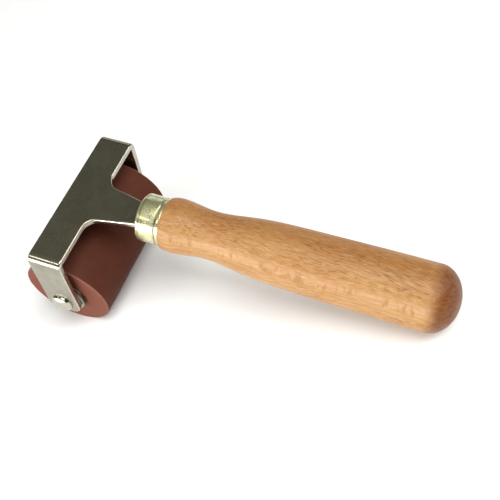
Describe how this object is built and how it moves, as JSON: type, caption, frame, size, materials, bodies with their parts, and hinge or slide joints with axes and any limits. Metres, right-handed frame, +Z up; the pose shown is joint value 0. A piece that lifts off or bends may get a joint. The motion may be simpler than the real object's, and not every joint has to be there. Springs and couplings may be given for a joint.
{
  "type": "rubber brayer",
  "caption": "Hand brayer: a rubber-covered roller spinning on a riveted axle in a bent steel yoke, with a brass-ferruled turned beech handle.",
  "frame": {"origin": "on the table under the middle of the brayer's outline, with the brayer lying on its roller and the end of its handle", "axes": "+X from the roller to the end of the handle, +Y along the roller to the user's right-hand arm of the yoke, +Z up from the table"},
  "size_m": [0.1842, 0.0752, 0.0524],
  "materials": {
    "yoke_steel": "satin, lightly tumbled zinc-plated sheet",
    "axle_steel": "bright turned rivet heads",
    "washer_zinc": "dull zinc plate",
    "roller_rubber": "matte ground rubber",
    "core_tube": "plain drawn tube",
    "bush_plastic": "natural moulded nylon",
    "ferrule_brass": "bright drawn brass with fine scratches",
    "handle_beech": "turned steamed beech, thin clear lacquer"
  },
  "bodies": {
    "frame": {"yoke_frame": "yoke_steel", "axle": "axle_steel", "washer_left": "washer_zinc", "washer_right": "washer_zinc", "ferrule": "ferrule_brass", "handle": "handle_beech"},
    "roller": {"rubber_sleeve": "roller_rubber", "roller_core": "core_tube", "bush_left": "bush_plastic", "bush_right": "bush_plastic"}
  },
  "joints": [
    {"name": "roller_spin", "type": "hinge", "parent": "frame", "child": "roller", "pos_m": [-0.07261, 0, 0.0195], "axis": [0, 1, 0], "continuous": true}
  ]
}
